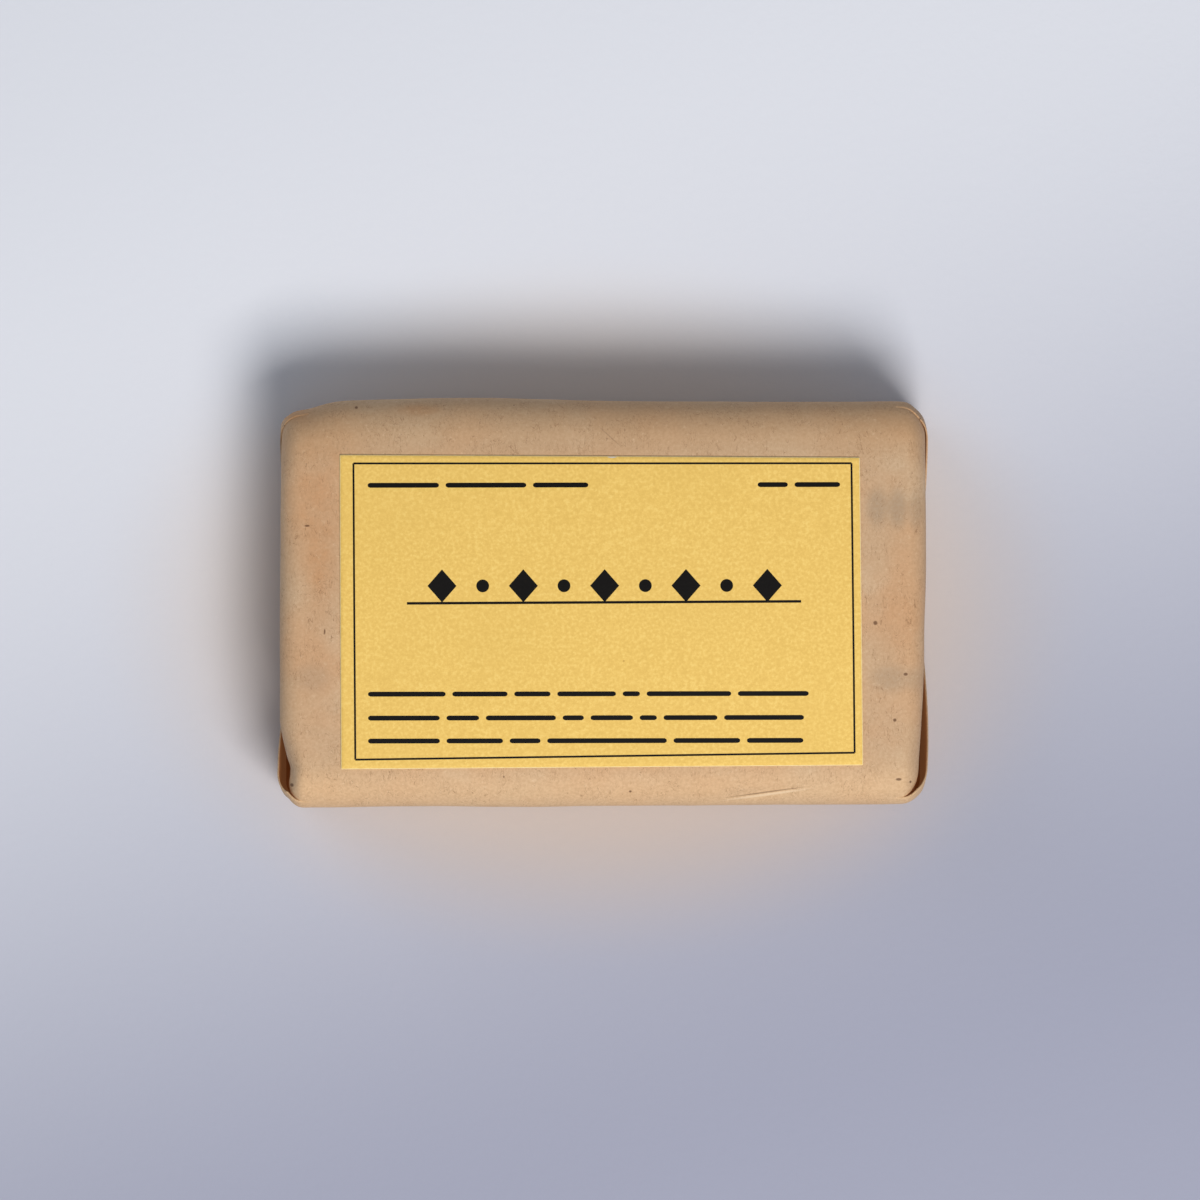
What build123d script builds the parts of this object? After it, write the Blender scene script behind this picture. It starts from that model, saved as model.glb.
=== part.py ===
# Wrapped butter block: one pat of butter folded into a sheet of tan paper, with a paper label
# glued on top.
#
# Two pieces. "wrapped_block" is the butter in its closed wrapper, one solid: a soft loaf with a
# crowned top, two paper tabs folded in over each end, a paper tongue tucked under each end and
# the long lap of the sheet on the underside. "label" is the glued paper label, a thin sheet that
# follows the crown.
#
# Frame: +X along the block, +Z up, origin at the centre of the box round the block, on the
# surface that it rests on. Front is -Y. All sizes are in millimetres.

import os
from math import cos, radians, sin, sqrt

from build123d import *

# The wrapped block.
block_length = 95.9
block_width = 59.8
block_height = 23.9
crown = 0.7
top_edge_radius = 5.4
base_edge_radius = 2.4
end_edge_radius = 3.2
least_corner_radius = 0.6

# Steps of the sections along the middle run, and over the rounding of each end.
middle_steps = 8
round_steps = 6

# How far the plan of the loaf departs from a rectangle.
back_bow = 0.5
back_bow_centre = -20.0
back_bow_reach = 26.0
pinched_corner_depth = 1.5
pinched_corner_reach = 9.5
front_taper = 0.5

# The paper and its folds.
ply = 0.1
tongue_drop = 3 * ply
lap_drop = 1.5 * ply
tongue_length = 18.0
tongue_end_gap = 1.6
tongue_side_gap = 2.6
lap_free_edge = 9.0
lap_side_gap = 3.2
tab_ply = 2.2 * ply
tab_top_drop = 2.2
pocket_floor = 3.0

# How far the folds are let into the block, so that they join it, and how far a cutting shape
# reaches past what it cuts.
let_in = 0.4
tab_let_in = 1.0
overrun = 10.0

# The label.
label_length = 77.0
label_width_left = 46.7
label_width_right = 45.6
label_thickness = 0.3
label_centre = (-0.3, -1.5)
label_turn = 0.1

# Each tab: which end and side it is on, how far across the end it reaches, how far it stands off
# the end and where, and where its pocket closes.
tabs = [
    {"end": 1, "side": -1, "reach": 26.5, "stand_off": 0.85, "peak": 12.5, "closes": 25.0},
    {"end": 1, "side": 1, "reach": 24.0, "stand_off": 0.5, "peak": 8.0, "closes": 22.0},
    {"end": -1, "side": -1, "reach": 24.0, "stand_off": 0.7, "peak": 6.0, "closes": 14.0},
    {"end": -1, "side": 1, "reach": 24.0, "stand_off": 0.45, "peak": 8.0, "closes": 20.0},
]

# The pinch in the left end behind its front tab: how deep, and its start, bottom and finish
# across the end from the front.
pinch_depth = 1.2
pinch_across = (1.1, 5.9, 11.7)


def smooth_step(low, high, value):
    """0 below low, 1 above high, and a smooth rise between."""
    share = min(max((value - low) / (high - low), 0.0), 1.0)
    return share * share * (3 - 2 * share)


def back_edge(x):
    """Y of the block's back at x: it bows out left of the middle and is pinched in at the left corner."""
    bow = back_bow * (1 - smooth_step(0, back_bow_reach, abs(x - back_bow_centre)))
    left_end = -block_length / 2
    pinch = pinched_corner_depth * (1 - smooth_step(left_end, left_end + pinched_corner_reach, x))
    return block_width / 2 + bow - pinch


def front_edge(x):
    """Y of the block's front at x, which tapers in slightly towards the right."""
    return -block_width / 2 - front_taper * (0.5 - x / block_length)


def loaf_section(x, inset):
    """The closed outline across the block at x, drawn in by inset where the ends are rounded."""
    share = inset / end_edge_radius
    drawn_radius = max(top_edge_radius - inset, least_corner_radius)
    top_radius = top_edge_radius + (drawn_radius - top_edge_radius) * share
    base_radius = base_edge_radius + (least_corner_radius - base_edge_radius) * share
    front, back = front_edge(x) + inset, back_edge(x) - inset
    base = tongue_drop + inset * base_edge_radius / end_edge_radius
    top = block_height - inset
    shoulder = top - crown
    slant = sqrt(0.5)
    base_line = Line((x, front + base_radius, base), (x, back - base_radius, base))
    back_foot = ThreePointArc(
        base_line @ 1,
        (x, back - base_radius * (1 - slant), base + base_radius * (1 - slant)),
        (x, back, base + base_radius),
    )
    back_wall = Line(back_foot @ 1, (x, back, shoulder - top_radius))
    back_shoulder = ThreePointArc(
        back_wall @ 1,
        (x, back - top_radius * (1 - slant), shoulder - top_radius * (1 - slant)),
        (x, back - top_radius, shoulder),
    )
    crown_arc = ThreePointArc(
        back_shoulder @ 1,
        (x, (front + back) / 2, top),
        (x, front + top_radius, shoulder),
    )
    front_shoulder = ThreePointArc(
        crown_arc @ 1,
        (x, front + top_radius * (1 - slant), shoulder - top_radius * (1 - slant)),
        (x, front, shoulder - top_radius),
    )
    front_wall = Line(front_shoulder @ 1, (x, front, base + base_radius))
    front_foot = ThreePointArc(
        front_wall @ 1,
        (x, front + base_radius * (1 - slant), base + base_radius * (1 - slant)),
        base_line @ 0,
    )
    outline = [base_line, back_foot, back_wall, back_shoulder]
    outline += [crown_arc, front_shoulder, front_wall, front_foot]
    return Wire(outline)


def loaf():
    """The block without its folds: a middle run, and at each end sections drawn in over a quarter round."""
    half = block_length / 2
    run = block_length - 2 * end_edge_radius
    middle = [
        loaf_section(-half + end_edge_radius + run * step / middle_steps, 0)
        for step in range(middle_steps + 1)
    ]
    shape = Solid.make_loft(middle)
    for end in (-1, 1):
        sections = []
        for step in range(round_steps + 1):
            angle = radians(90 * step / round_steps)
            along = end_edge_radius * (1 - cos(angle))
            inset = end_edge_radius * (1 - sin(angle))
            sections.append(loaf_section(end * (half - along), inset))
        shape = shape + Solid.make_loft(sections)
    return shape.solid()


def corner_point(tab, inward, across):
    """A point in plan near one corner: inward from the end's plane, and across from the side wall."""
    edge = front_edge if tab["side"] < 0 else back_edge
    wall = edge(tab["end"] * (block_length / 2 - end_edge_radius))
    return Vector(tab["end"] * (block_length / 2 - inward), wall - tab["side"] * across, 0)


def below_crease(tab):
    """The space below a tab's upper crease, which falls in a straight line from the corner to the base."""
    high = block_height - tab_top_drop
    wall = corner_point(tab, 0, 0).Y
    tip = wall - tab["side"] * tab["reach"]
    beyond = wall + tab["side"] * overrun
    rise = high + overrun * high / tab["reach"]
    start = tab["end"] * (block_length / 2 - overrun)
    corners = [(start, beyond, 0), (start, tip, 0), (start, beyond, rise)]
    outline = Wire.make_polygon(corners, close=True)
    return Solid.extrude(Face(outline), (tab["end"] * 2 * overrun, 0, 0))


def upright(profile_edges, low, high):
    """The closed plan profile, extruded from one height to another."""
    face = Face(Wire(profile_edges))
    if face.normal_at().Z < 0:
        face = -face
    return Solid.extrude(face.translate((0, 0, low)), (0, 0, high - low))


def tab_solid(tab, core):
    """The tab of paper folded round the corner and over the end, standing off it in a shallow bow."""
    radius = end_edge_radius
    slant = radius * (1 - sqrt(0.5))
    start = corner_point(tab, radius, -ply)
    closed = corner_point(tab, -tab_ply, tab["closes"])
    tip = corner_point(tab, -tab_ply, tab["reach"])
    root = corner_point(tab, tab_let_in, tab["reach"])
    heel = corner_point(tab, radius, radius)
    bow = Spline(
        start,
        corner_point(tab, slant - ply, slant - ply),
        corner_point(tab, -0.5 * tab["stand_off"], radius * 1.4),
        corner_point(tab, -tab["stand_off"], tab["peak"]),
        closed,
        tangents=[(tab["end"], 0, 0), (0, -tab["side"], 0)],
        tangent_scalars=[0.6, 1.0],
    )
    edges = [bow, Line(closed, tip), Line(tip, root), Line(root, heel), Line(heel, start)]
    outer = core.translate((tab["end"] * (tab["stand_off"] + ply), 0, -ply))
    return (upright(edges, 0, block_height) & below_crease(tab) & outer).solid()


def pocket_solid(tab):
    """The hollow between a tab and the end, open along the tab's upper crease."""
    start = corner_point(tab, 0, end_edge_radius * 0.8)
    finish = corner_point(tab, 0, tab["closes"])
    bow = ThreePointArc(start, corner_point(tab, tab_ply - tab["stand_off"], tab["peak"]), finish)
    hollow = upright([bow, Line(finish, start)], pocket_floor, block_height)
    return (hollow & below_crease(tab)).solid()


def pinch_solid():
    """The upright V-shaped hollow pinched into the left end behind its front tab."""
    corner = {"end": -1, "side": -1}
    start, bottom, finish = pinch_across
    points = [(-ply, start), (pinch_depth, bottom), (-ply, finish)]
    outline = Wire.make_polygon([corner_point(corner, *point) for point in points], close=True)
    return upright(outline.edges(), pocket_floor, block_height)


def tongue(end):
    """The folded paper tongue tucked flat under one end, narrowing at 45 degrees from its fold."""
    half = block_length / 2
    side = block_width / 2 - tongue_side_gap
    wide, narrow = half - tongue_end_gap, half - tongue_length
    taper = tongue_length - tongue_end_gap
    outline = Wire.make_polygon(
        [
            (end * wide, -side, 0),
            (end * wide, side, 0),
            (end * narrow, side - taper, 0),
            (end * narrow, -side + taper, 0),
        ],
        close=True,
    )
    return Solid.extrude(Face(outline), (0, 0, tongue_drop + let_in))


def lap():
    """The long lap of the sheet, pasted down on the underside from the front edge to its free edge."""
    front = -block_width / 2 + lap_side_gap
    length = block_length - 2 * tongue_end_gap
    shape = Solid.make_box(length, lap_free_edge - front, lap_drop + let_in)
    return shape.translate((-length / 2, front, tongue_drop - lap_drop))


def label_prism():
    """The upright prism over the label's outline, a quadrilateral a little wider at its left."""
    left, right = -label_length / 2, label_length / 2
    outline = Wire.make_polygon(
        [
            (left, -label_width_left / 2, 0),
            (right, -label_width_right / 2, 0),
            (right, label_width_right / 2, 0),
            (left, label_width_left / 2, 0),
        ],
        close=True,
    )
    turned = Face(outline).rotate(Axis.Z, label_turn)
    placed = turned.translate((label_centre[0], label_centre[1], block_height / 2))
    return Solid.extrude(placed, (0, 0, block_height))


os.makedirs("parts", exist_ok=True)
core = loaf()
folded = core + [tab_solid(tab, core) for tab in tabs]
folded = folded - [pocket_solid(tab) for tab in tabs] - pinch_solid()
wrapped_block = (folded + [tongue(-1), tongue(1), lap()]).solid()
label = ((core.translate((0, 0, label_thickness)) & label_prism()) - core).solid()

box = wrapped_block.bounding_box()
shift = (-(box.min.X + box.max.X) / 2, -(box.min.Y + box.max.Y) / 2, 0)
for name, piece in [("wrapped_block", wrapped_block), ("label", label)]:
    export_step(piece.translate(shift), f"parts/{name}.step")
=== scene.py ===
import math

import bmesh
import bpy
from mathutils import Matrix, Vector, noise


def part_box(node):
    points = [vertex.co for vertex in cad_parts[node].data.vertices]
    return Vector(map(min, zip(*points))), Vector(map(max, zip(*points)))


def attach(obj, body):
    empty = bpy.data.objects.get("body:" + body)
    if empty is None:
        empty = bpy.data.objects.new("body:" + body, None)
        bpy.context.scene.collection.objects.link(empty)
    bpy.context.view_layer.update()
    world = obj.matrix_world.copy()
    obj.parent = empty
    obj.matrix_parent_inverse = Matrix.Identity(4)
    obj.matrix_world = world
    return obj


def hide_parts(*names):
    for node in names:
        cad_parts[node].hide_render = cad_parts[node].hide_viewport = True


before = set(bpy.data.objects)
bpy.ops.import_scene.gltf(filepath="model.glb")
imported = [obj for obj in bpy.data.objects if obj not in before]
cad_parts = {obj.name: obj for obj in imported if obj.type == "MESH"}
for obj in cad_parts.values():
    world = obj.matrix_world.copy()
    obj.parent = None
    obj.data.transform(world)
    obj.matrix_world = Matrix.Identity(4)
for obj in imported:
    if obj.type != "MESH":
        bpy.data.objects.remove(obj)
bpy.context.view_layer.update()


# ---- The wrapper over the butter ----
# One sheet of tan greaseproof paper, folded tight over a soft, hand-shaped pat. The butter shows
# through it as soft bows, a crowned top, a slumped back corner and a pinched left end.
MM = 0.001
block_low, block_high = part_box("wrapped_block")
RIGHT_TAB_ROOM = 0.85 * MM
LEFT_TAB_ROOM = 0.70 * MM
UNDER_ROOM = 0.3 * MM
CROWN = 0.7 * MM
HALF_LENGTH = (block_high.x - block_low.x - RIGHT_TAB_ROOM - LEFT_TAB_ROOM) / 2
HALF_WIDTH = 29.85 * MM
HALF_HEIGHT = (block_high.z - UNDER_ROOM - CROWN) / 2
MIDDLE = Vector((block_low.x + LEFT_TAB_ROOM + HALF_LENGTH, 0, UNDER_ROOM + HALF_HEIGHT))
END_ROUND = 3.2 * MM
BASE_ROUND = 2.4 * MM
SHOULDER_ROUND = 5.4 * MM
SIDE_ROUND = 3.0 * MM
END_TOP_ROUND = 3.6 * MM


def smooth(low, high, value):
    share = min(max((value - low) / (high - low), 0), 1)
    return share * share * (3 - 2 * share)


def clamp(value, low, high):
    return min(max(value, low), high)


def rounded(point):
    """A point of the sharp box moved onto the box with rounded edges, and the way out of it."""
    shoulder = smooth(-0.1 * HALF_HEIGHT, 0.7 * HALF_HEIGHT, point.z)
    across = SIDE_ROUND + (SHOULDER_ROUND - SIDE_ROUND) * shoulder
    long_edge = smooth(HALF_WIDTH - 11 * MM, HALF_WIDTH - 5 * MM, abs(point.y))
    top = END_TOP_ROUND + (SHOULDER_ROUND - END_TOP_ROUND) * long_edge
    core = Vector((
        clamp(point.x, -HALF_LENGTH + END_ROUND, HALF_LENGTH - END_ROUND),
        clamp(point.y, -HALF_WIDTH + across, HALF_WIDTH - across),
        clamp(point.z, -HALF_HEIGHT + BASE_ROUND, HALF_HEIGHT - top),
    ))
    up = top if point.z > 0 else BASE_ROUND
    step = Vector((
        (point.x - core.x) / END_ROUND,
        (point.y - core.y) / across,
        (point.z - core.z) / up,
    ))
    step.normalize()
    outward = Vector((step.x / END_ROUND, step.y / across, step.z / up)).normalized()
    return core + Vector((step.x * END_ROUND, step.y * across, step.z * up)), outward


BACK_BOW, BOW_PLACE, BOW_REACH = 0.5 * MM, -20 * MM, 26 * MM
CORNER_SLUMP, CORNER_DROOP, CORNER_REACH = 1.9 * MM, 0.9 * MM, 11 * MM
CORNER_DRAWN_OUT = Vector((-0.65, 0.35, 0)) * 0.9 * MM
FRONT_TAPER = 0.5 * MM
END_PRESSED, FRONT_OF_END_PRESSED = 0.25 * MM, 0.75 * MM
PINCH_PLACE, PINCH_DEPTH = -24.3 * MM, 1.35 * MM
PINCH_BACK_SPAN, PINCH_FRONT_SPAN = 6.6 * MM, 8.5 * MM
BELLY = 0.25 * MM


def slump(point, pressed_in=1.0):
    """How far the soft butter has moved a point of the rounded box, with its ends pressed in."""
    x, y, z = point
    side = y / HALF_WIDTH
    high = smooth(-0.6 * HALF_HEIGHT, 0.5 * HALF_HEIGHT, z)
    move = Vector((0, 0, 0))
    if y > 0:
        bow = BACK_BOW * (1 - smooth(0, BOW_REACH, abs(x - BOW_PLACE)))
        corner = CORNER_SLUMP * (1 - smooth(-HALF_LENGTH, -HALF_LENGTH + CORNER_REACH, x)) ** 1.4
        right_corner = 0.7 * MM * smooth(HALF_LENGTH - 6 * MM, HALF_LENGTH, x) ** 2
        move.y += side * (bow - corner - right_corner)
        move.z -= CORNER_DROOP * high * side ** 3 * (corner / CORNER_SLUMP)
    else:
        taper = FRONT_TAPER * (0.5 - x / (2 * HALF_LENGTH))
        right_corner = 0.35 * MM * smooth(HALF_LENGTH - 7 * MM, HALF_LENGTH, x) ** 2
        left_corner = 0.5 * MM * smooth(HALF_LENGTH - 5 * MM, HALF_LENGTH, -x) ** 2
        move.y += side * (taper - right_corner - left_corner)
    near_end = smooth(0.85, 1, abs(x) / HALF_LENGTH)
    off_base = smooth(-0.95 * HALF_HEIGHT, -0.2 * HALF_HEIGHT, z)
    if x > 0:
        pressed = END_PRESSED * smooth(8 * MM, -6 * MM, y)
        pressed += FRONT_OF_END_PRESSED * smooth(-8 * MM, -HALF_WIDTH, y)
        move.x -= near_end * pressed * pressed_in * off_base
    else:
        span = PINCH_BACK_SPAN if y > PINCH_PLACE else PINCH_FRONT_SPAN
        pinch = PINCH_DEPTH * max(1 - abs(y - PINCH_PLACE) / span, 0) ** 1.15
        move.x += near_end * pinch * pressed_in * off_base
        at_tip = smooth(HALF_LENGTH - 4.5 * MM, HALF_LENGTH - 0.5 * MM, -x)
        at_tip *= smooth(HALF_WIDTH - 4.5 * MM, HALF_WIDTH - 0.5 * MM, y)
        move += CORNER_DRAWN_OUT * at_tip
    if z > 0:
        move.z += CROWN * (1 - side * side) * smooth(0, HALF_HEIGHT, z)
    move.y += BELLY * (1 - (z / HALF_HEIGHT) ** 2) * side ** 3
    return move


BROAD_WAVE, FINE_WAVE = 0.16 * MM, 0.045 * MM


def dented(point):
    """The gentle rise and fall of hand-shaped butter under its paper."""
    broad = noise.noise(Vector((point.x, point.y, point.z * 1.5)) * 55 + Vector((3.1, 7.7, 1.3)))
    fine = noise.noise(point * 170 + Vector((9.2, 0.4, 5.5)))
    above_base = smooth(-HALF_HEIGHT, -0.6 * HALF_HEIGHT, point.z)
    return above_base * (BROAD_WAVE * broad + FINE_WAVE * fine)


# The creases pressed into the sheet, in millimetres: both ends in plan, depth and half width.
CREASES = {
    "front, sharp": ((19.0, -29.0), (28.6, -27.3), 0.30, 0.75),
    "front, its left tail": ((15.0, -29.6), (22.0, -28.2), 0.14, 0.9),
    "front, its right tail": ((25.0, -27.9), (34.5, -26.2), 0.10, 1.1),
    "back, middle": ((0.0, 25.6), (2.6, 23.0), 0.08, 0.6),
    "back, left": ((-23.4, 27.2), (-23.2, 24.0), 0.06, 0.5),
    "beside the left pocket": ((-46.8, -24.3), (-46.2, -27.2), 0.28, 0.7),
}


def crease_depth(place):
    """How deep the creases are at a place in plan, in metres."""
    depth = 0
    for start, finish, deep, half_width in CREASES.values():
        start, finish = Vector(start) * MM, Vector(finish) * MM
        run = finish - start
        along = clamp((place - start).dot(run) / run.length_squared, 0, 1)
        away = (place - start - run * along).length / (half_width * MM)
        depth += deep * MM * math.sin(math.pi * (0.12 + 0.76 * along)) * math.exp(-away * away)
    return depth


def skin(x, y, z, lift=0.0, pressed_in=1.0):
    """The point of the wrapper's surface over a point of the sharp box, raised by lift."""
    point, outward = rounded(Vector((x, y, z)))
    moved = point + slump(point, pressed_in)
    moved += outward * (dented(moved) + lift)
    if z > 0 and lift == 0:
        moved -= outward * crease_depth(moved.xy)
    return moved + MIDDLE


def finished(name, mesh_data, material, smooth_faces=True):
    """A piece made from a bmesh, with its material, riding on the pack."""
    for face in mesh_data.faces:
        face.smooth = smooth_faces
    mesh = bpy.data.meshes.new(name)
    mesh_data.to_mesh(mesh)
    mesh_data.free()
    piece = bpy.data.objects.new(name, mesh)
    bpy.context.scene.collection.objects.link(piece)
    mesh.materials.append(material)
    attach(piece, "root")
    return piece


class Socket:
    """A shader socket with arithmetic: each operation adds the node that works it out."""

    def __init__(self, tree, output):
        self.tree = tree
        self.output = output

    def node(self, kind, settings=None, inputs=None, output=0):
        """Adds any node: its type, its settings, and the values or links of its sockets."""
        made = self.tree.nodes.new(kind)
        for name, value in (settings or {}).items():
            setattr(made, name, value)
        for name, value in (inputs or {}).items():
            if isinstance(value, Socket):
                self.tree.links.new(value.output, made.inputs[name])
            else:
                made.inputs[name].default_value = value
        return Socket(self.tree, made.outputs[output])

    def math(self, operation, *values):
        return self.node("ShaderNodeMath", {"operation": operation}, dict(enumerate(values)))

    def __add__(self, other):
        return self.math("ADD", self, other)

    def __mul__(self, other):
        return self.math("MULTIPLY", self, other)

    def __sub__(self, other):
        return self.math("SUBTRACT", self, other)

    def __abs__(self):
        return self.math("ABSOLUTE", self)

    def __rsub__(self, other):
        return self.math("SUBTRACT", other, self)

    __radd__ = __add__
    __rmul__ = __mul__

    def between(self, low, high):
        """0 at low and 1 at high, with a smooth rise between."""
        return self.node(
            "ShaderNodeMapRange",
            {"interpolation_type": "SMOOTHSTEP"},
            {"Value": self, "From Min": low, "From Max": high},
        )

    def noise(self, scale, detail=2.0, rough=0.5, warp=0.0):
        """Noise over the piece's own coordinates, with scale in waves per metre."""
        return self.node(
            "ShaderNodeTexNoise", None,
            {
                "Vector": self, "Scale": scale, "Detail": detail, "Roughness": rough,
                "Distortion": warp,
            },
        )

    def stretched(self, x, y, z, turn=0.0):
        """These coordinates stretched along each axis, then turned about the upright one."""
        return self.node(
            "ShaderNodeMapping", None,
            {"Vector": self, "Scale": (x, y, z), "Rotation": (0, 0, turn)},
        )

    def dyed(self, other, share):
        """This colour, changed towards another by a share."""
        return self.node(
            "ShaderNodeMix", {"data_type": "RGBA"}, {0: share, 6: self, 7: other}, output=2
        )

    def height(self, axis):
        """One coordinate of these, with 0 for x, 1 for y and 2 for z."""
        return self.node("ShaderNodeSeparateXYZ", None, {0: self}, output=axis)

    def relief(self, height, strength):
        """The bump that a height in millimetres makes."""
        return self.node(
            "ShaderNodeBump", None, {"Strength": strength, "Distance": MM, "Height": height}
        )

    def spot(self, x, y, half_x, half_y, soft=0.6, turn=0.0):
        """1 inside an oval over a place in plan, in millimetres, and 0 outside it."""
        flat = self.node(
            "ShaderNodeMapping", {"vector_type": "TEXTURE"},
            {
                "Vector": self, "Location": (x * MM, y * MM, 0),
                "Rotation": (0, 0, math.radians(turn)), "Scale": (half_x * MM, half_y * MM, 1000),
            },
        )
        away = self.node("ShaderNodeVectorMath", {"operation": "LENGTH"}, {0: flat}, output=1)
        return 1 - away.between(1 - soft, 1 + soft)


def colour(red, green, blue):
    """A colour given as 0 to 255, as the linear values that a shader takes."""
    parts = [part / 255 for part in (red, green, blue)]
    linear = [p / 12.92 if p <= 0.04045 else ((p + 0.055) / 1.055) ** 2.4 for p in parts]
    return (*linear, 1.0)


def new_material(name, roughness):
    """A material with a plain shader, and the start of its Object coordinates."""
    material = bpy.data.materials.new(name)
    material.use_nodes = True
    tree = material.node_tree
    shader = tree.nodes["Principled BSDF"]
    shader.inputs["Roughness"].default_value = roughness
    shader.inputs["Specular IOR Level"].default_value = 0.3
    place = Socket(tree, tree.nodes.new("ShaderNodeTexCoord").outputs["Object"])
    return material, shader, place


def base_colour(place, value):
    """A plain colour as a socket, ready to be dyed."""
    dye = place.node("ShaderNodeRGB")
    dye.output.default_value = value
    return dye


def connect(shader, name, value):
    value.tree.links.new(value.output, shader.inputs[name])


# Grease and pulp colour the sheet unevenly: pinker patches, orange stains where butter has soaked
# through, and soft grey shadows of the print on the layer below.
TAN = colour(204, 172, 137)
PINK_TAN = colour(210, 168, 128)
PALE_TAN = colour(214, 188, 155)
# Painted light and shade: a lighter tan for the front of the sheet and a darker tan for the back.
LIT_TAN, SHADED_TAN = colour(232, 197, 153), colour(184, 151, 114)
PULP_DARK, PULP_PALE = colour(168, 128, 88), colour(238, 212, 176)
FIBRE = colour(132, 94, 60)
STAIN = colour(203, 146, 96)
GREY_SHADOW = colour(160, 143, 122)
# Dark flecks in the pulp, and also the painted shade along two creases.
SPECK_AND_CREASE_SHADE = colour(96, 62, 36)
# Painted highlight beside the front crease.
PAINTED_CREASE_HIGHLIGHT = colour(238, 214, 180)
# The inner face's browner dye, and the colour of its painted glow.
INNER_BROWN, INNER_GLOW = colour(192, 134, 84), colour(172, 120, 76)

# Each soft mark is an oval in plan, in millimetres: its middle, its half sizes and its strength.
STAINS = {
    "left end, back": (-42.5, 14.0, 4.0, 10.0, 0.50),
    "beside the label's corner": (-40.0, 24.0, 4.5, 4.0, 0.35),
    "left back tip": (-45.6, 28.0, 2.2, 1.2, 0.9),
    "left end, middle": (-42.0, 5.0, 2.0, 6.0, 0.45),
    "left end, front": (-43.0, -9.0, 3.5, 6.0, 0.25),
    "right end, middle": (44.0, -2.0, 3.5, 6.0, 0.35),
    "right back": (40.0, 26.0, 9.0, 3.0, 0.30),
    "grease at the back edge": (-27.6, 28.7, 2.8, 0.8, 0.8),
    "back band": (10.0, 26.5, 14.0, 2.6, 0.2),
    "front band": (6.0, -26.5, 12.0, 2.4, 0.25),
    "left front": (-36.0, -27.0, 7.0, 2.5, 0.2),
    "right end, back": (44.5, 9.0, 2.5, 4.0, 0.2),
}
SHADOWS = {
    "right back, first": (40.6, 14.2, 1.5, 2.6, 0.7),
    "right back, second": (43.6, 14.0, 1.4, 2.7, 0.75),
    "right back, third": (46.2, 13.6, 1.0, 2.6, 0.5),
    "right front, first": (42.6, -11.2, 2.6, 1.9, 0.55),
    "right front, second": (46.2, -11.4, 1.2, 1.8, 0.35),
    "left front": (-43.2, -11.2, 2.4, 2.0, 0.4),
}
# Each fleck is a small oval in plan, in millimetres: its middle and its half sizes.
FLECKS = {
    "left end, back": (-43.9, 11.4, 0.35, 0.16),
    "left end, middle": (-41.3, -4.3, 0.12, 0.4),
    "right end, front": (43.2, -17.4, 0.24, 0.24),
    "right end, middle": (44.8, -10.6, 0.3, 0.22),
    "right front": (43.8, -26.2, 0.42, 0.2),
    "right front tip": (45.6, -26.6, 0.18, 0.18),
    "front tick": (-22.6, -24.1, 0.12, 0.5),
    "left back": (-36.7, 29.0, 0.22, 0.2),
    "left pocket": (-46.3, -27.1, 0.3, 0.25),
    "beside the label": (40.3, -3.0, 0.3, 0.3),
    "front middle": (4.0, -28.0, 0.2, 0.15),
}
# The fibres lie three ways: how each is turned, and its waves per metre across and along.
FIBRE_WAYS = ((0.4, 1300, 420), (1.7, 1150, 380), (2.6, 1200, 400))


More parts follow.
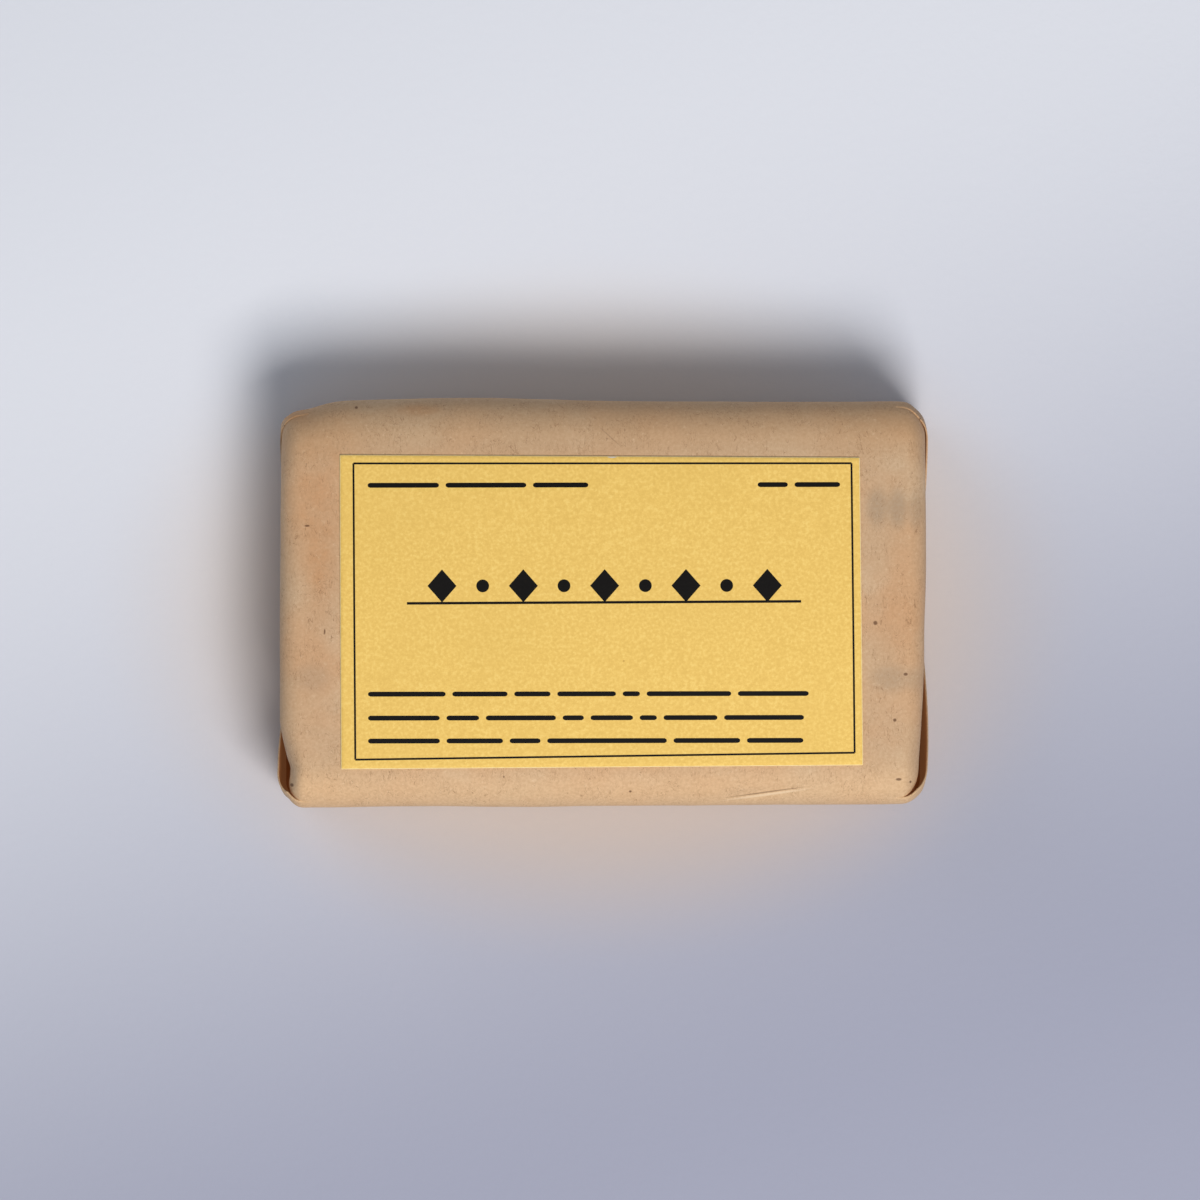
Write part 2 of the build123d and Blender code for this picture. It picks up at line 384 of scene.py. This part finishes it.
def wrapping_paper(name, inner=False):
    """Matt tan paper with mottling, stains, fibres and flecks, and painted light and shade at
    front, back and creases; its inner face is browner with a painted glow.
    """
    material, shader, place = new_material(name, 0.72)
    above = place.height(2).between(0.012, 0.018)
    dye = base_colour(place, TAN)
    dye = dye.dyed(PINK_TAN, place.noise(75, 3, 0.55).between(0.38, 0.66) * 0.6)
    dye = dye.dyed(PALE_TAN, place.noise(120, 2, 0.5).between(0.5, 0.75) * 0.55)
    pulp = place.noise(420, 3, 0.6).between(0.3, 0.75)
    for x, y, half_x, half_y, strength in STAINS.values():
        blotch = place.spot(x, y, half_x, half_y, 0.75) * (pulp * 0.4 + 0.6)
        dye = dye.dyed(STAIN, blotch * strength)
    for x, y, half_x, half_y, strength in SHADOWS.values():
        dye = dye.dyed(GREY_SHADOW, place.spot(x, y, half_x, half_y, 0.6) * above * strength * 0.75)
    # Painted light and shade: the sheet is painted lighter towards the front and darker towards the
    # back, on every face there.
    towards_back = place.height(1)
    dye = dye.dyed(LIT_TAN, towards_back.between(-0.021, -0.029) * 0.55)
    dye = dye.dyed(SHADED_TAN, towards_back.between(0.018, 0.026) * 0.42)
    dye = dye.dyed(PULP_DARK, place.noise(2300, 3, 0.65).between(0.3, 0.7) * 0.3)
    dye = dye.dyed(PULP_PALE, place.noise(1700, 3, 0.65).between(0.56, 0.8) * 0.3)
    for turn, across, along in FIBRE_WAYS:
        strands = place.stretched(across, along, 800, turn).noise(1.0, 2, 0.5, 1.2)
        hair = 1 - abs(strands - 0.5).between(0.0, 0.012)
        broken = place.noise(260 + 40 * turn, 2, 0.5).between(0.5, 0.6)
        dye = dye.dyed(FIBRE, hair * broken * 0.6)
    for x, y, half_x, half_y in FLECKS.values():
        dye = dye.dyed(SPECK_AND_CREASE_SHADE, place.spot(x, y, half_x, half_y, 0.35) * above * 0.8)
    dots = place.node("ShaderNodeTexVoronoi", None, {"Vector": place, "Scale": 330.0})
    chosen = place.noise(180, 1, 0.5).between(0.62, 0.68)
    dye = dye.dyed(SPECK_AND_CREASE_SHADE, (1 - dots.between(0.03, 0.07)) * chosen * 0.6)
    # Painted shade and highlight: a dark line along the front crease with a pale line beside it,
    # and a faint dark line along the back crease.
    dye = dye.dyed(SPECK_AND_CREASE_SHADE, place.spot(24.0, -28.15, 5.0, 0.10, 0.6, 8) * above * 0.55)
    dye = dye.dyed(PAINTED_CREASE_HIGHLIGHT, place.spot(24.2, -28.5, 5.2, 0.16, 0.7, 8) * above * 0.6)
    dye = dye.dyed(SPECK_AND_CREASE_SHADE, place.spot(1.0, 24.6, 1.9, 0.09, 0.6, -42) * above * 0.3)
    # The inner face is dyed browner and given a weak painted glow, as if light came through the
    # paper into the pockets.
    if inner:
        dye = dye.dyed(INNER_BROWN, 0.8)
        shader.inputs["Emission Color"].default_value = INNER_GLOW
        shader.inputs["Emission Strength"].default_value = 0.16
    connect(shader, "Base Color", dye)
    cockle = place.noise(330, 3, 0.55) * 0.055 + place.noise(1500, 3, 0.6) * 0.03
    fibre = place.noise(4200, 2, 0.6) * 0.008
    connect(shader, "Normal", place.relief(cockle + fibre, 0.9))
    return material


outer_paper = wrapping_paper("wrapping paper, outer face")
inner_paper = wrapping_paper("wrapping paper, inner face", inner=True)

LENGTH_CUTS, WIDTH_CUTS, HEIGHT_CUTS = ((178, 122, 44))
EDGE_CROWDING = 0.25


def crowded(share):
    """Spreads grid lines so that they stand closer together towards both edges."""
    return share * (1 + EDGE_CROWDING) - EDGE_CROWDING * share ** 3


wrap = bmesh.new()
bmesh.ops.create_cube(wrap, size=2)
for axis, cuts in ((0, LENGTH_CUTS), (1, WIDTH_CUTS), (2, HEIGHT_CUTS)):
    along_axis = [
        edge for edge in wrap.edges
        if abs(edge.verts[0].co[axis] - edge.verts[1].co[axis]) > 1.9
    ]
    bmesh.ops.subdivide_edges(wrap, edges=along_axis, cuts=cuts)
for vert in wrap.verts:
    x, y, z = (crowded(share) for share in vert.co)
    vert.co = skin(x * HALF_LENGTH, y * HALF_WIDTH, z * HALF_HEIGHT)
bmesh.ops.recalc_face_normals(wrap, faces=wrap.faces)
wrapper = finished("wrapper", wrap, outer_paper)
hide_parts("wrapped_block")


# ---- The tabs folded in over the ends ----
# At each corner the side of the sheet is folded round over the end and down under the base. Its
# upper edge is a slanting crease; the paper springs open there and leaves a narrow pocket.
PLY = 0.22 * MM
WALL_RUN = 6.0 * MM
TUCK = 18.0 * MM
TUCK_SIDE_GAP = 2.4 * MM
CREASE_START = 1.9 * MM
TAB_STEP = 0.55 * MM
TAB_FOLLOWS = 0.15
TABS = {
    "tab_right_front": (1, -1, 26.5, 0.60, 11.5, 25.0),
    "tab_right_back": (1, 1, 24.0, 0.26, 8.0, 18.0),
    "tab_left_front": (-1, -1, 24.0, 0.55, 5.0, 12.0),
    "tab_left_back": (-1, 1, 24.0, 0.06, 8.0, 18.0),
}
END_HEIGHT = 2 * HALF_HEIGHT


def stand_off(across, down, tab):
    """How far a tab springs off the end: most at its crease, and nothing at the base."""
    reach, most, peak, closes = tab
    if across <= 0 or across >= closes:
        return 0
    skew = math.log(0.5) / math.log(peak / closes)
    bow = math.sin(math.pi * (across / closes) ** skew)
    crease = CREASE_START + across * (END_HEIGHT - CREASE_START) / reach
    share = clamp((END_HEIGHT - down) / max(END_HEIGHT - crease, MM), 0, 1)
    return most * bow * share ** 0.7


def tab_point(end, side, across, down, lift):
    """A point of a tab, from its distance across the end and down from the top edge."""
    y = side * (HALF_WIDTH - max(across, 0))
    if down <= END_HEIGHT:
        x = end * (HALF_LENGTH + min(across, 0))
        return skin(x, y, HALF_HEIGHT - down, lift, pressed_in=TAB_FOLLOWS)
    return skin(end * (HALF_LENGTH - (down - END_HEIGHT)), y, -HALF_HEIGHT, lift)


def folded_sheet(bounds_low, bounds_high, cuts_by_line):
    """A flat grid of paper, cut back along each line given by a point on it and the way off it."""
    span_x, span_y = bounds_high[0] - bounds_low[0], bounds_high[1] - bounds_low[1]
    sheet = bmesh.new()
    bmesh.ops.create_grid(
        sheet,
        x_segments=max(int(span_x / TAB_STEP), 2),
        y_segments=max(int(span_y / TAB_STEP), 2),
        size=0.5,
    )
    bmesh.ops.scale(sheet, vec=(span_x, span_y, 1), verts=sheet.verts)
    middle = ((bounds_low[0] + bounds_high[0]) / 2, (bounds_low[1] + bounds_high[1]) / 2, 0)
    bmesh.ops.translate(sheet, vec=middle, verts=sheet.verts)
    for place, away in cuts_by_line:
        bmesh.ops.bisect_plane(
            sheet, geom=sheet.verts[:] + sheet.edges[:] + sheet.faces[:],
            plane_co=(*place, 0), plane_no=(*away, 0), clear_outer=True,
        )
    return sheet


def ply(name, sheet, facing, thickness):
    """A loose ply of the wrapper: its outer face turned to the facing way, and the inner behind."""
    bmesh.ops.recalc_face_normals(sheet, faces=sheet.faces)
    turned = sum((face.normal * face.calc_area() for face in sheet.faces), Vector())
    if turned.dot(Vector(facing)) < 0:
        bmesh.ops.reverse_faces(sheet, faces=sheet.faces)
    piece = finished(name, sheet, outer_paper)
    piece.data.materials.append(inner_paper)
    walls = piece.modifiers.new("paper", "SOLIDIFY")
    walls.thickness = thickness
    walls.offset = -1
    walls.material_offset = 1
    walls.material_offset_rim = 0
    return piece


for name, (end, side, reach, most, peak, closes) in TABS.items():
    shape = tuple(size * MM for size in (reach, most, peak, closes))
    fall = (END_HEIGHT - CREASE_START) / shape[0]
    tab = folded_sheet(
        (-WALL_RUN, CREASE_START), (HALF_WIDTH - MM, END_HEIGHT + TUCK),
        [((0, CREASE_START), (fall, -1))],
    )
    for place, away in (((0, END_HEIGHT), (0, 1)), ((TUCK_SIDE_GAP, END_HEIGHT), (-1, 1))):
        bmesh.ops.bisect_plane(
            tab, geom=tab.verts[:] + tab.edges[:] + tab.faces[:],
            plane_co=(*place, 0), plane_no=(*away, 0),
        )
    trimmed = []
    for face in tab.faces:
        across, down, _ = face.calc_center_median()
        if down > END_HEIGHT and across - TUCK_SIDE_GAP < down - END_HEIGHT:
            trimmed.append(face)
    bmesh.ops.delete(tab, geom=trimmed, context="FACES")
    for vert in tab.verts:
        across, down, _ = vert.co
        lift = PLY * smooth(-WALL_RUN, 0.5 * MM, across) - 0.03 * MM
        lift += stand_off(across, down, shape)
        vert.co = tab_point(end, side, across, down, lift)
    ply(name, tab, (end, 0, 0), PLY)


# ---- The tucked tongues and the lap underneath ----
# Under each end the folded paper is tucked flat in a tongue of several plies, which the block
# stands on. The sheet's long free edge is lapped over along the underside.
TONGUE_THICK = 0.26 * MM
LAP_THICK = 0.14 * MM
LAP_EDGE = 9.0 * MM
DOWN = (0, 0, -1)
for name, end in (("tongue_right", 1), ("tongue_left", -1)):
    half = HALF_WIDTH - TUCK_SIDE_GAP - 1.5 * MM
    tongue = folded_sheet(
        (0.0, -half), (TUCK - 0.6 * MM, half), [((0, half), (1, 1)), ((0, -half), (1, -1))]
    )
    for vert in tongue.verts:
        inward, y, _ = vert.co
        vert.co = skin(end * (HALF_LENGTH - inward), y, -HALF_HEIGHT, TONGUE_THICK)
    ply(name, tongue, DOWN, TONGUE_THICK)

lap = folded_sheet(
    (-HALF_LENGTH + 3 * MM, -HALF_WIDTH + 2 * MM), (HALF_LENGTH - 3 * MM, LAP_EDGE), []
)
for vert in lap.verts:
    x, y, _ = vert.co
    ragged = 0.25 * MM * noise.noise(Vector((x * 60, 0, 4))) if y > LAP_EDGE - TAB_STEP else 0
    vert.co = skin(x, y + ragged, -HALF_HEIGHT, LAP_THICK)
ply("lap", lap, DOWN, LAP_THICK)


# ---- The label ----
# A rectangle of thick yellow paper with a felt-pressed grain, cut a little out of square and
# glued flat on the crown. Its cut edges show the paler core of the paper.
LABEL_BACK_LEFT, LABEL_BACK_RIGHT = Vector((-39.1, 21.95)), Vector((38.0, 21.55))
LABEL_FRONT_LEFT, LABEL_FRONT_RIGHT = Vector((-38.9, -24.7)), Vector((38.5, -24.1))
LABEL_MIDDLE = Vector((-0.3, -1.5))
LABEL_THICK = 0.3 * MM
LABEL_TURN = math.radians(0.1)


def on_label(flat, lift=0.0):
    """The point over a place in plan, in millimetres, on the label's face."""
    x, y = flat * MM
    on_top = skin(x - MIDDLE.x, y - MIDDLE.y, HALF_HEIGHT, LABEL_THICK + lift)
    return Vector((x, y, on_top.z))


LABEL_YELLOW = colour(240, 201, 106)
FELT_DARK, FELT_PALE = colour(220, 180, 88), colour(252, 220, 130)
LABEL_CLOUD, LABEL_SPECK = colour(230, 192, 100), colour(170, 120, 50)
NICK = colour(206, 210, 220)
CORE_PALE, CORE_DARK = colour(246, 226, 168), colour(225, 190, 110)


def label_paper():
    """Warm yellow felt-marked paper, grained in colour and in relief, torn white at one nick."""
    material, shader, place = new_material("label paper", 0.62)
    felt = place.noise(2100, 3, 0.6)
    dye = base_colour(place, LABEL_YELLOW)
    dye = dye.dyed(FELT_DARK, (1 - felt.between(0.3, 0.62)) * 0.5)
    dye = dye.dyed(FELT_PALE, felt.between(0.5, 0.72) * 0.5)
    dye = dye.dyed(LABEL_CLOUD, place.noise(55, 2, 0.5).between(0.4, 0.7) * 0.2)
    dots = place.node("ShaderNodeTexVoronoi", None, {"Vector": place, "Scale": 240.0})
    chosen = place.noise(140, 1, 0.5).between(0.64, 0.68)
    dye = dye.dyed(LABEL_SPECK, (1 - dots.between(0.02, 0.05)) * chosen * 0.5)
    dye = dye.dyed(NICK, place.spot(1.3, 21.75, 0.75, 0.28, 0.25) * 0.9)
    connect(shader, "Base Color", dye)
    connect(shader, "Normal", place.relief(felt * 0.05 + place.noise(900, 2, 0.5) * 0.03, 0.9))
    return material


def cut_edge_paper():
    """The pale core of the label paper where it is cut."""
    material, shader, place = new_material("label cut edge", 0.75)
    cloudy = place.noise(1800, 2).between(0.4, 0.7)
    connect(shader, "Base Color", base_colour(place, CORE_PALE).dyed(CORE_DARK, cloudy * 0.4))
    return material


face_paper = label_paper()
label_sheet = bmesh.new()
bmesh.ops.create_grid(label_sheet, x_segments=118, y_segments=72, size=1)
for vert in label_sheet.verts:
    along, across = (vert.co.x + 1) / 2, (vert.co.y + 1) / 2
    front = LABEL_FRONT_LEFT.lerp(LABEL_FRONT_RIGHT, along)
    back = LABEL_BACK_LEFT.lerp(LABEL_BACK_RIGHT, along)
    vert.co = on_label(front.lerp(back, across))
bmesh.ops.solidify(label_sheet, geom=label_sheet.faces, thickness=LABEL_THICK + 0.06 * MM)
bmesh.ops.recalc_face_normals(label_sheet, faces=label_sheet.faces)
rim = [edge for edge in label_sheet.edges if edge.is_manifold and edge.calc_face_angle() > 1.2]
bmesh.ops.bevel(
    label_sheet, geom=rim, offset=0.12 * MM, affect="EDGES", segments=1, profile=0.5, material=-1
)
label_piece = finished("label_sheet", label_sheet, face_paper)
label_piece.data.materials.append(cut_edge_paper())
for face in label_piece.data.polygons:
    if face.normal.z < 0.9:
        face.material_index = 1
        face.use_smooth = False
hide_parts("label")


# ---- The print on the label ----
# Flat black ink: one thin frame, a row of solid lozenges and dots standing on a long rule, and
# plain dashes of uneven length in rows above and below it.
INK_PROUD = 0.012 * MM
INK_THICK = 0.03 * MM
STEP_ALONG = 1.0


INK_BLACK, INK_THIN = colour(9, 7, 6), colour(40, 32, 20)


def printing_ink():
    """Matt black ink that thins a little on the high points of the paper's grain."""
    material, shader, place = new_material("black ink", 0.55)
    shader.inputs["Specular IOR Level"].default_value = 0.12
    thin = place.noise(2400, 2).between(0.6, 0.85)
    connect(shader, "Base Color", base_colour(place, INK_BLACK).dyed(INK_THIN, thin * 0.3))
    connect(shader, "Normal", place.relief(place.noise(2100, 3, 0.6) * 0.03, 0.6))
    return material


black_ink = printing_ink()


def inked(name, shapes):
    """Lays flat shapes, given in millimetres from the label's middle, on the label as ink."""
    turned = Matrix.Rotation(LABEL_TURN, 2)
    for vert in shapes.verts:
        vert.co = on_label(LABEL_MIDDLE + turned @ vert.co.xy, INK_PROUD)
    bmesh.ops.recalc_face_normals(shapes, faces=shapes.faces)
    for face in shapes.faces:
        if face.normal.z < 0:
            face.normal_flip()
    bmesh.ops.solidify(shapes, geom=shapes.faces, thickness=INK_THICK)
    bmesh.ops.recalc_face_normals(shapes, faces=shapes.faces)
    piece = finished(name, shapes, black_ink, smooth_faces=False)


def line(shapes, start, finish, thick, round_ends=False):
    """A straight printed line in short steps, so that it lies down on the crowned label."""
    start, finish = Vector(start), Vector(finish)
    run = finish - start
    way = run.normalized()
    steps = max(int(run.length / STEP_ALONG), 2)
    rows = 6 if round_ends else 1
    grid = bmesh.ops.create_grid(shapes, x_segments=steps, y_segments=rows, size=1)
    for vert in grid["verts"]:
        across = vert.co.y * thick / 2
        drawn_in = thick / 2 - math.sqrt(max(thick ** 2 / 4 - across ** 2, 0)) if round_ends else 0
        along = vert.co.x * (run.length / 2 - drawn_in)
        flat = (start + finish) / 2 + way * along + Vector((-way.y, way.x)) * across
        vert.co = (flat.x, flat.y, 0)


def lozenge(shapes, x, y, half_x, half_y, sides=4):
    """A solid printed lozenge, or with many sides a dot."""
    ring = bmesh.ops.create_circle(shapes, cap_ends=True, segments=sides, radius=1)
    bmesh.ops.scale(shapes, vec=(half_x, half_y, 1), verts=ring["verts"])
    bmesh.ops.translate(shapes, vec=(x, y, 0), verts=ring["verts"])


FRAME_CORNERS = [(-36.7, 22.2), (37.1, 22.1), (37.5, -20.8), (-36.5, -21.7)]
FRAME_LINE = 0.29
frame_lines = bmesh.new()
for corner, following in zip(FRAME_CORNERS, FRAME_CORNERS[1:] + FRAME_CORNERS[:1]):
    line(frame_lines, corner, following, FRAME_LINE)
inked("print_frame", frame_lines)

RULE_HEIGHT, RULE_RISE, RULE_LINE = 1.45, 0.2, 0.38
RULE_LEFT, RULE_RIGHT = -28.8, 29.6
FIRST_MARK, LAST_MARK, MARKS = -23.6, 24.6, 9
MARK_HEIGHT, LOZENGE_HALF_WIDTH, DOT_RADIUS = 4.9, 2.15, 0.95
MARK_MIDDLE = RULE_HEIGHT + 0.12 + MARK_HEIGHT / 2
ornament = bmesh.new()
line(ornament, (RULE_LEFT, RULE_HEIGHT), (RULE_RIGHT, RULE_HEIGHT + RULE_RISE), RULE_LINE)
for number in range(MARKS):
    x = FIRST_MARK + (LAST_MARK - FIRST_MARK) * number / (MARKS - 1)
    if number % 2 == 0:
        lozenge(ornament, x, MARK_MIDDLE, LOZENGE_HALF_WIDTH, MARK_HEIGHT / 2)
    else:
        lozenge(ornament, x, MARK_MIDDLE, DOT_RADIUS, DOT_RADIUS, sides=28)
inked("print_ornament", ornament)

# Each row of dashes: its left and right ends, its height, and the dashes' shares of its length.
ROWS = {
    "top left": (-34.6, -1.9, 18.95, [7.6, 8.6, 5.9]),
    "top right": (23.2, 35.4, 18.95, [4.1, 6.2]),
    "bottom, first": (-34.6, 30.7, -12.0, [9.0, 6.4, 4.2, 6.8, 2.0, 9.8, 8.2]),
    "bottom, second": (-34.6, 30.0, -15.55, [8.8, 4.0, 8.6, 2.6, 5.2, 2.1, 6.6, 9.8]),
    "bottom, third": (-34.6, 29.9, -18.95, [8.4, 6.6, 3.6, 14.0, 7.8, 6.6]),
}
DASH_THICK = 0.72
DASH_GAP = 1.0
dashes = bmesh.new()
for left, right, height, shares in ROWS.values():
    stretch = (right - left - DASH_GAP * (len(shares) - 1)) / sum(shares)
    x = left
    for share in shares:
        line(dashes, (x, height), (x + share * stretch, height), DASH_THICK, round_ends=True)
        x += share * stretch + DASH_GAP
inked("print_dashes", dashes)


# ---- The floor, the camera and the lights ----
# A pale, cool sheet of matt paper under the pack. Its colour holds painted shade that turns it grey
# at the front right, and a painted warm glow round the pack for light bounced off the wrapper. The
# camera looks straight down. One soft lamp stands at the front, a little to the right, with a weak
# one behind and a cool sky all round.
FLOOR_SIZE = 2.4
floor_shape = bmesh.new()
bmesh.ops.create_grid(floor_shape, x_segments=1, y_segments=1, size=FLOOR_SIZE / 2)
floor_mesh = bpy.data.meshes.new("floor")
floor_shape.to_mesh(floor_mesh)
floor_shape.free()
floor = bpy.data.objects.new("floor", floor_mesh)
bpy.context.scene.collection.objects.link(floor)
floor_material, floor_shader, floor_place = new_material("floor paper", 0.9)
PALE_FLOOR, PAINTED_SHADE_GREY_FLOOR = colour(230, 234, 243), colour(160, 164, 184)
PAINTED_BOUNCE_WARM_FLOOR = colour(214, 192, 166)
towards_front = floor_place.stretched(1, 1, 1, math.radians(70)).height(0)
floor_dye = base_colour(floor_place, PALE_FLOOR)
# Painted shade: the floor's colour darkens to grey towards the front right.
floor_dye = floor_dye.dyed(PAINTED_SHADE_GREY_FLOOR, towards_front.between(-0.075, 0.085))
# Painted bounce light: a warm tint on the floor round the pack, as if the wrapper threw its colour
# there.
floor_dye = floor_dye.dyed(PAINTED_BOUNCE_WARM_FLOOR, floor_place.spot(-2, -1, 60, 43, 0.3) * 0.5)
connect(floor_shader, "Base Color", floor_dye)
connect(floor_shader, "Normal", floor_place.relief(floor_place.noise(700, 3) * 0.08, 0.5))
floor_mesh.materials.append(floor_material)

scene = bpy.context.scene
SENSOR = 36.0
SEEN = 0.1788
SEEN_AT_HEIGHT = 0.018
CAMERA_HEIGHT = 1.1
camera_data = bpy.data.cameras.new("camera")
camera_data.sensor_width = SENSOR
camera_data.lens = SENSOR * (CAMERA_HEIGHT - SEEN_AT_HEIGHT) / SEEN
camera = bpy.data.objects.new("camera", camera_data)
camera.location = (-0.0005, 0.0004, CAMERA_HEIGHT)
scene.collection.objects.link(camera)
scene.camera = camera


def lamp(name, place, aim, size, power, tint):
    """A square soft lamp at a place, turned to face a point."""
    data = bpy.data.lights.new(name, "AREA")
    data.size = size
    data.energy = power
    data.color = tint
    holder = bpy.data.objects.new(name, data)
    holder.location = place
    holder.rotation_euler = (Vector(aim) - Vector(place)).to_track_quat("-Z", "Y").to_euler()
    scene.collection.objects.link(holder)


lamp("key", (0.22, -0.43, 0.80), (0, 0, 0), 0.40, 7.5, (1.0, 0.955, 0.91))
lamp("window", (-0.9, 0.7, 0.8), (-0.1, 0.1, 0), 0.8, 2.6, (0.9, 0.94, 1.0))
world = bpy.data.worlds.new("sky")
world.use_nodes = True
sky = world.node_tree.nodes["Background"]
sky.inputs["Color"].default_value = (0.84, 0.9, 1.0, 1)
sky.inputs["Strength"].default_value = 0.24
scene.world = world
scene.view_settings.view_transform = "Standard"
